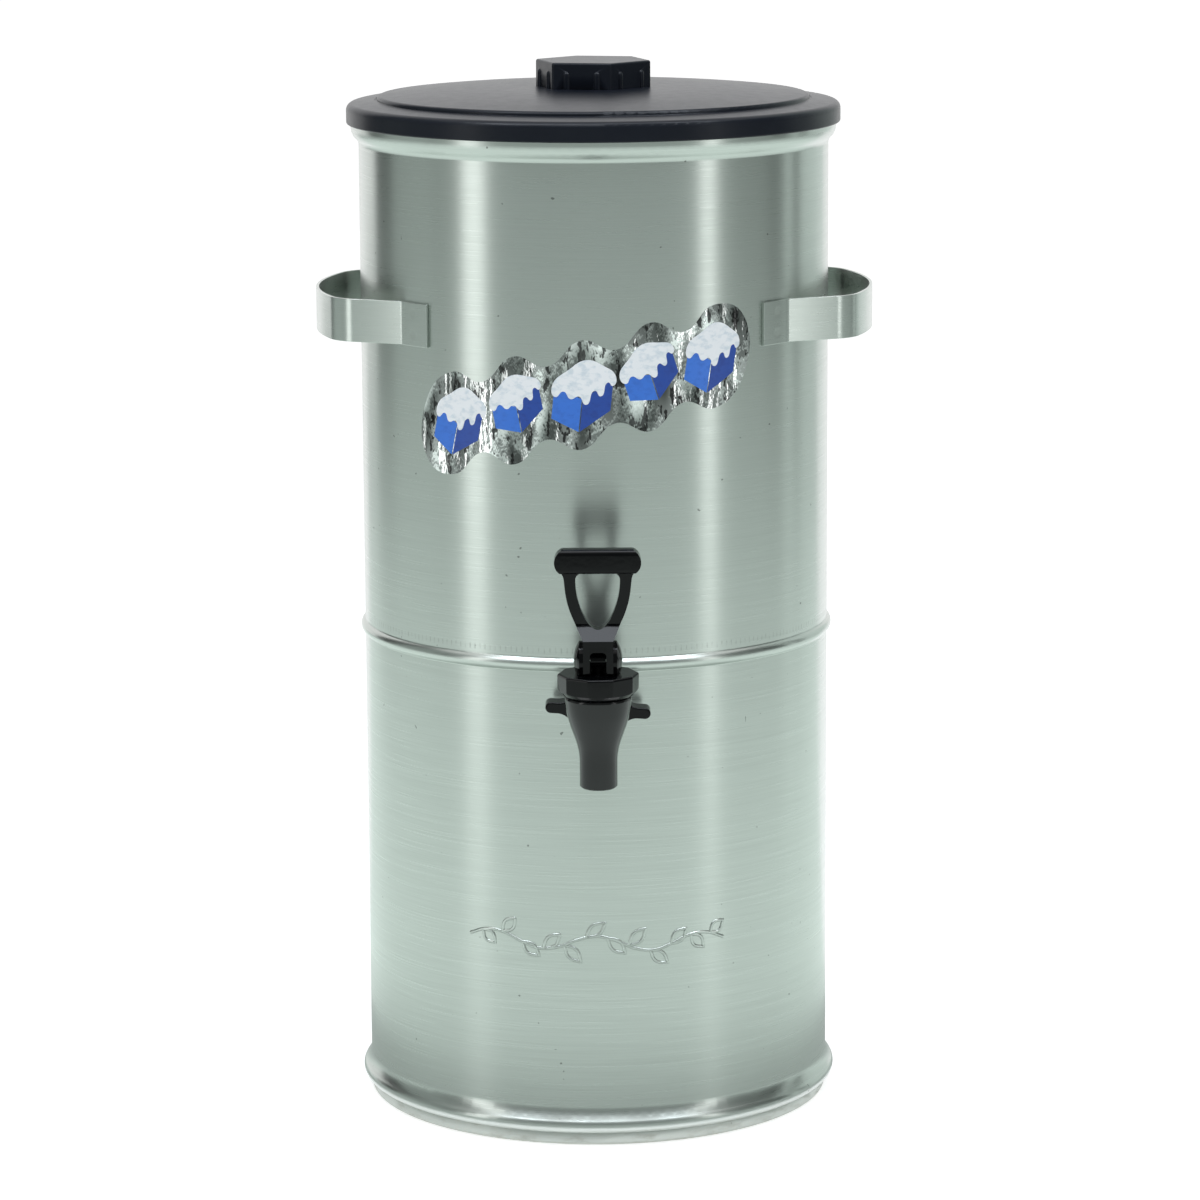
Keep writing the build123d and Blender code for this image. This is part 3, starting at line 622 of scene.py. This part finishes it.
foil = mirrorFoil("mirror_foil", foilLook)
blueInk = printedInk("blue_ink", blueLook)
deepBlueInk = printedInk("deep_blue_ink", deepBlueLook)
whiteInk = printedInk("white_ink", whiteLook)

# a stand is how far the middle of a layer's thickness is from the wall
foilDecal = {
    "centre": (-0.0068, 0.3650),
    "slope": 0.245,
    "halfLength": 0.0815,
    "halfHeight": 0.0215,
    "scallops": 5,
    "scallopDepth": 0.0085,
    "endNarrowing": 0.12,
    "foilThickness": 0.00008,
    "foilStand": 0.00006,
    "inkThickness": 0.00005,
    "cubeStand": 0.00014,
    "snowStand": 0.00020,
    "smoothAngle": 35.0,
}
# each cube: place along the foil, offset across it, length of an edge, tilt in degrees
iceCubes = [
    (-0.0625, -0.0005, 0.0158, -14.0),
    (-0.0312, 0.0020, 0.0142, 11.0),
    (0.0004, -0.0015, 0.0166, -6.0),
    (0.0325, 0.0015, 0.0146, 17.0),
    (0.0635, -0.0010, 0.0160, -10.0),
]
# outlines on a cube of unit edge, seen corner on
cubeLeft = [(-0.015, -0.02), (-0.84, 0.42), (-0.84, -0.46), (-0.015, -0.94)]
cubeRight = [(0.015, -0.02), (0.015, -0.94), (0.84, -0.46), (0.84, 0.42)]
snowCap = [
    (-0.91, 0.46), (-0.46, 0.86), (0.0, 1.06), (0.50, 0.84), (0.91, 0.46),
    (0.84, 0.22), (0.70, 0.34), (0.52, -0.02), (0.34, 0.16), (0.12, -0.20),
    (-0.10, 0.06), (-0.34, 0.02), (-0.56, 0.26), (-0.80, 0.14),
]


def onFoil(along, across):
    return foilDecal["centre"][0] + along, foilDecal["slope"] * along + across


def scallopedOutline():
    points = []
    steps = 2 * foilDecal["scallops"]
    for side in (1, -1):
        for step in range(steps + 1):
            share = side * (2 * step / steps - 1)
            swell = foilDecal["scallopDepth"] * (0.5 if step % 2 else -0.5)
            narrow = 1.0 - foilDecal["endNarrowing"] * abs(share) ** 3
            across = side * (foilDecal["halfHeight"] * narrow + swell)
            points.append(onFoil(share * foilDecal["halfLength"], across))
    return points


def onCube(cube, outline):
    along, across, edge, tilt = cube
    turn = math.radians(tilt)
    return [
        onFoil(
            along + edge * (x * math.cos(turn) - z * math.sin(turn)),
            across + edge * (x * math.sin(turn) + z * math.cos(turn)),
        )
        for x, z in outline
    ]


def layOnWall(name, outlines, corner, thickness, stand, material):
    mesh = flatShape(name, outlines, thickness, corner)
    wrapOnWall(mesh, foilDecal["centre"][1], stand, wrapping["foilStrip"])
    placePiece(name, mesh, material, "container", foilDecal["smoothAngle"])


def layInk(name, outline, corner, stand, ink):
    outlines = [onCube(cube, outline) for cube in iceCubes]
    layOnWall(name, outlines, corner, foilDecal["inkThickness"], stand, ink)


foilThickness = foilDecal["foilThickness"]
layOnWall("foil_decal", [scallopedOutline()], "AUTO", foilThickness, foilDecal["foilStand"], foil)
layInk("cube_left_sides", cubeLeft, "VECTOR", foilDecal["cubeStand"], blueInk)
layInk("cube_right_sides", cubeRight, "VECTOR", foilDecal["cubeStand"], deepBlueInk)
layInk("snow_caps", snowCap, "AUTO", foilDecal["snowStand"], whiteInk)
print("foil decal laid on the wall")


# Emboss on the skirt: a plain sprig pressed out of the steel
sprig = {
    "centre": (-0.0012, 0.1005),
    "halfLength": 0.0640,
    "slope": -0.02,
    "wave": 0.0036,
    "waves": 2.5,
    "stemSteps": 14,
    "curveSteps": 8,
    "lineRadius": 0.00080,
    "lineRoundness": 3,
    "standProud": 0.00050,
    "leaves": 12,
    "firstLeaf": 0.7,
    "lastGap": 0.4,
    "leafLength": 0.0118,
    "endLeafShare": 0.70,
    "leafWidth": 0.0026,
    "leafLean": 42.0,
    "leanSwing": 5.0,
    "leanStep": 2.1,
    "smoothAngle": 60.0,
}
# a leaf's foot, one side, tip and other side, as shares of its length and width
leafOutline = ((0.0, 0.0), (0.5, 1.0), (1.0, 0.0), (0.5, -1.0))
leafCorners = ("VECTOR", "AUTO", "VECTOR", "AUTO")


def sprigPoint(share):
    x = (share * 2 - 1) * sprig["halfLength"]
    z = sprig["slope"] * x + sprig["wave"] * math.sin(share * 2 * math.pi * sprig["waves"])
    return sprig["centre"][0] + x, z


def leafPoints(index):
    share = (index + sprig["firstLeaf"]) / (sprig["leaves"] + sprig["lastGap"])
    x, z = sprigPoint(share)
    side = 1 if index % 2 else -1
    lean = sprig["leafLean"] + sprig["leanSwing"] * math.sin(index * sprig["leanStep"])
    lean = math.radians(side * lean)
    middleGain = 1.0 - sprig["endLeafShare"]
    length = sprig["leafLength"] * (sprig["endLeafShare"] + middleGain * math.sin(math.pi * share))
    points = []
    for along, out in leafOutline:
        forward = along * length
        aside = out * sprig["leafWidth"]
        points.append((
            x + forward * math.cos(lean) - aside * math.sin(lean),
            z + forward * math.sin(lean) + aside * math.cos(lean),
        ))
    return points


def sprigMesh():
    curve = bpy.data.curves.new("sprig", "CURVE")
    curve.dimensions = "3D"
    curve.resolution_u = sprig["curveSteps"]
    curve.bevel_depth = sprig["lineRadius"]
    curve.bevel_resolution = sprig["lineRoundness"]
    curve.use_fill_caps = True
    steps = sprig["stemSteps"]
    addSpline(curve, [sprigPoint(step / steps) for step in range(steps + 1)], ["AUTO"] * (steps + 1))
    for index in range(sprig["leaves"]):
        leaf = addSpline(curve, leafPoints(index), leafCorners)
        leaf.use_cyclic_u = True
    return meshOfCurve(curve)


pressed = sprigMesh()
flattening = sprig["standProud"] / sprig["lineRadius"]
pressed.transform(Matrix.Diagonal((1.0, 1.0, flattening, 1.0)))
wrapOnWall(pressed, sprig["centre"][1], 0.0, wrapping["sprigStrip"])
placePiece("skirt_emboss", pressed, skirtSteel, "container", sprig["smoothAngle"])
print("emboss laid on the skirt")


# Studio: pale floor, white surround for the camera, and a grey room that reflections meet
studio = {
    "roomLight": 0.55,
    "floorSize": 40.0,
    "floorDrop": 0.0002,
    "floorPaint": 0.82,
    "floorGlow": 0.60,
    "ringAway": 2.9,
    "ringHeight": 3.4,
    "ringStep": 15.0,
    "ringLap": 1.02,
    "cardRise": 0.001,
    "cardSteps": 48,
    "cardTint": (0.92, 1.03, 0.99),
}
# what polished faces meet round the room, in degrees from the front: from, to, brightness
roomRing = [
    (-132.0, -114.0, 0.02),
    (-114.0, -84.0, 0.33),
    (-84.0, 70.0, 0.22),
    (70.0, 92.0, 0.17),
    (92.0, 104.0, 0.02),
    (104.0, 111.0, 0.80),
    (111.0, 118.0, 0.05),
    (118.0, 150.0, 0.78),
]
# and on the floor, in metres from the axis: from, to, brightness
nearFloor = [
    # the first, darker band is painted shade: seen only in reflections, it stands in for the floor's
    # contact shadow round the foot
    (0.13, 0.21, 0.46),
    (0.21, 0.28, 0.86),
    (0.28, 0.42, 1.08),
    (0.42, 1.3, 1.03),
    (1.3, 1.8, 0.88),
    (1.8, 2.9, 0.42),
]
floorTurns = (-150.0, 140.0)


def seenWhite(tree, dim, white):
    # the camera and reflections meet white, other light meets the dimmer value
    path = tree.nodes.new("ShaderNodeLightPath")
    seen = mathNode(tree, "MAXIMUM", path.outputs["Is Camera Ray"], path.outputs["Is Glossy Ray"])
    seen = mathNode(tree, "MAXIMUM", seen, path.outputs["Is Transmission Ray"])
    return spread(tree, seen, (0.0, 1.0), (dim, white))


def floorMaterial():
    material, tree, shader, place = startMaterial("pale_floor")
    tree.nodes.remove(shader)
    paint = tree.nodes.new("ShaderNodeBsdfDiffuse")
    paint.inputs["Color"].default_value = (studio["floorPaint"],) * 3 + (1.0,)
    glow = tree.nodes.new("ShaderNodeEmission")
    tree.links.new(seenWhite(tree, 0.0, studio["floorGlow"]), glow.inputs["Strength"])
    both = tree.nodes.new("ShaderNodeAddShader")
    tree.links.new(paint.outputs[0], both.inputs[0])
    tree.links.new(glow.outputs[0], both.inputs[1])
    tree.links.new(both.outputs[0], tree.nodes["Material Output"].inputs["Surface"])
    return material


def cardMaterial(name, level):
    material, tree, shader, place = startMaterial(name)
    tree.nodes.remove(shader)
    glow = tree.nodes.new("ShaderNodeEmission")
    glow.inputs["Color"].default_value = (*(level * share for share in studio["cardTint"]), 1.0)
    tree.links.new(glow.outputs[0], tree.nodes["Material Output"].inputs["Surface"])
    return material


def around(turnDegrees, away, height):
    turn = math.radians(turnDegrees)
    return Vector((away * math.sin(turn), -away * math.cos(turn), height))


def addStage(name, shape, material, cameraSees):
    mesh = bpy.data.meshes.new(name)
    shape.to_mesh(mesh)
    shape.free()
    mesh.materials.append(material)
    card = bpy.data.objects.new(name, mesh)
    bpy.context.scene.collection.objects.link(card)
    card.visible_camera = cameraSees
    card.visible_diffuse = cameraSees
    card.visible_shadow = cameraSees


def stagePlane(name, width, height, place, turn, material, cameraSees):
    shape = bmesh.new()
    bmesh.ops.create_grid(shape, x_segments=1, y_segments=1, size=0.5)
    bmesh.ops.scale(shape, vec=(width, height, 1.0), verts=shape.verts)
    bmesh.ops.transform(shape, matrix=Matrix.Translation(place) @ turn, verts=shape.verts)
    addStage(name, shape, material, cameraSees)


def roomCards(start, end, level):
    # a run of upright cards, each turned to the axis
    material = cardMaterial("room_card", level)
    count = math.ceil((end - start) / studio["ringStep"])
    step = (end - start) / count
    width = 2.0 * studio["ringAway"] * math.tan(math.radians(step / 2)) * studio["ringLap"]
    height = studio["ringHeight"] / 2
    for index in range(count):
        place = around(start + (index + 0.5) * step, studio["ringAway"], height)
        outwards = place - Vector((0.0, 0.0, height))
        turn = outwards.to_track_quat("Z", "Y").to_matrix().to_4x4()
        stagePlane("room_card", width, studio["ringHeight"], place, turn, material, False)


def floorCard(near, far, level):
    # a ring sector round the front and the sides
    shape = bmesh.new()
    ends = [shape.verts.new(around(floorTurns[0], reach, studio["cardRise"])) for reach in (near, far)]
    edge = shape.edges.new(ends)
    bmesh.ops.spin(
        shape, geom=ends + [edge], cent=(0.0, 0.0, 0.0), axis=(0.0, 0.0, 1.0), dvec=(0.0, 0.0, 0.0),
        angle=math.radians(floorTurns[1] - floorTurns[0]), steps=studio["cardSteps"],
        use_duplicate=False,
    )
    addStage("floor_card", shape, cardMaterial("floor_card", level), False)


world = bpy.data.worlds.new("studio")
bpy.context.scene.world = world
world.use_nodes = True
background = world.node_tree.nodes["Background"]
background.inputs["Color"].default_value = (1.0, 1.0, 1.0, 1.0)
surround = seenWhite(world.node_tree, studio["roomLight"], 1.0)
world.node_tree.links.new(surround, background.inputs["Strength"])

floorSize = studio["floorSize"]
floorPlace = Vector((0.0, 0.0, -studio["floorDrop"]))
stagePlane("floor", floorSize, floorSize, floorPlace, Matrix.Identity(4), floorMaterial(), True)
for start, end, level in roomRing:
    roomCards(start, end, level)
for near, far, level in nearFloor:
    floorCard(near, far, level)

# Lamps: upright boxes at the sides, cool boxes overhead and high at the front corners
whiteLight = (1.0, 1.0, 1.0)
coolLight = (0.84, 0.91, 1.0)
sideBoxes = [
    {"name": "leftBox", "turn": -59.0, "width": 0.36},
    {"name": "rightBox", "turn": 55.0, "width": 0.24},
]
sideBox = {"away": 1.7, "rise": 0.85, "aim": (0.0, 0.0, 0.75), "height": 1.9, "radiance": 1.55}
overheadAim = (0.0, -0.15, 0.25)
overheadBoxes = [
    {"name": "topBox", "place": (0.0, -0.42, 1.75), "width": 1.0, "height": 0.30, "radiance": 7.0},
    {"name": "frontBox", "place": (-0.17, -0.86, 1.57), "width": 0.24, "height": 0.22, "radiance": 6.0},
    {"name": "frontBox", "place": (0.17, -0.86, 1.57), "width": 0.24, "height": 0.22, "radiance": 6.0},
]
highBox = {"turn": 57.0, "rise": 58.0, "away": 1.5, "aim": (0.0, 0.0, 0.25), "size": 0.34, "radiance": 11.0}


def softBox(name, place, aim, width, height, radiance, colour):
    lamp = bpy.data.lights.new(name, "AREA")
    lamp.shape = "RECTANGLE"
    lamp.size = width
    lamp.size_y = height
    lamp.energy = radiance * math.pi * width * height
    lamp.color = colour
    holder = bpy.data.objects.new(name, lamp)
    holder.location = place
    holder.rotation_euler = (place - Vector(aim)).to_track_quat("Z", "Y").to_euler()
    bpy.context.scene.collection.objects.link(holder)


height = sideBox["height"]
radiance = sideBox["radiance"]
for box in sideBoxes:
    place = around(box["turn"], sideBox["away"], sideBox["rise"])
    softBox(box["name"], place, sideBox["aim"], box["width"], height, radiance, whiteLight)
for box in overheadBoxes:
    place = Vector(box["place"])
    softBox(box["name"], place, overheadAim, box["width"], box["height"], box["radiance"], coolLight)
rise = math.radians(highBox["rise"])
size = highBox["size"]
for name, side in (("highBoxLeft", -1), ("highBoxRight", 1)):
    height = highBox["aim"][2] + highBox["away"] * math.sin(rise)
    place = around(side * highBox["turn"], highBox["away"] * math.cos(rise), height)
    softBox(name, place, highBox["aim"], size, size, highBox["radiance"], coolLight)
print("studio set")


# Camera: the photograph's viewpoint
viewpoint = {
    "away": 2.31753,
    "elevation": 10.8,
    "lens": 140.19,
    "sensor": 36.0,
    "farEnd": 100.0,
    "aim": (0.00197, 0.0, 0.24581),
    "roll": -0.32,
    "turn": -0.33,
}
tilt = math.radians(viewpoint["elevation"])
eye = Vector(viewpoint["aim"]) + viewpoint["away"] * Vector((0.0, -math.cos(tilt), math.sin(tilt)))
cameraData = bpy.data.cameras.new("camera")
cameraData.sensor_width = viewpoint["sensor"]
cameraData.lens = viewpoint["lens"]
cameraData.clip_end = viewpoint["farEnd"]
camera = bpy.data.objects.new("camera", cameraData)
bpy.context.scene.collection.objects.link(camera)
turn = Matrix.Rotation(math.radians(viewpoint["turn"]), 4, "Z")
look = Matrix.Rotation(math.radians(90.0 - viewpoint["elevation"]), 4, "X")
roll = Matrix.Rotation(math.radians(viewpoint["roll"]), 4, "Z")
camera.matrix_world = turn @ Matrix.Translation(eye) @ look @ roll
bpy.context.scene.camera = camera
bpy.context.scene.view_settings.view_transform = "Standard"
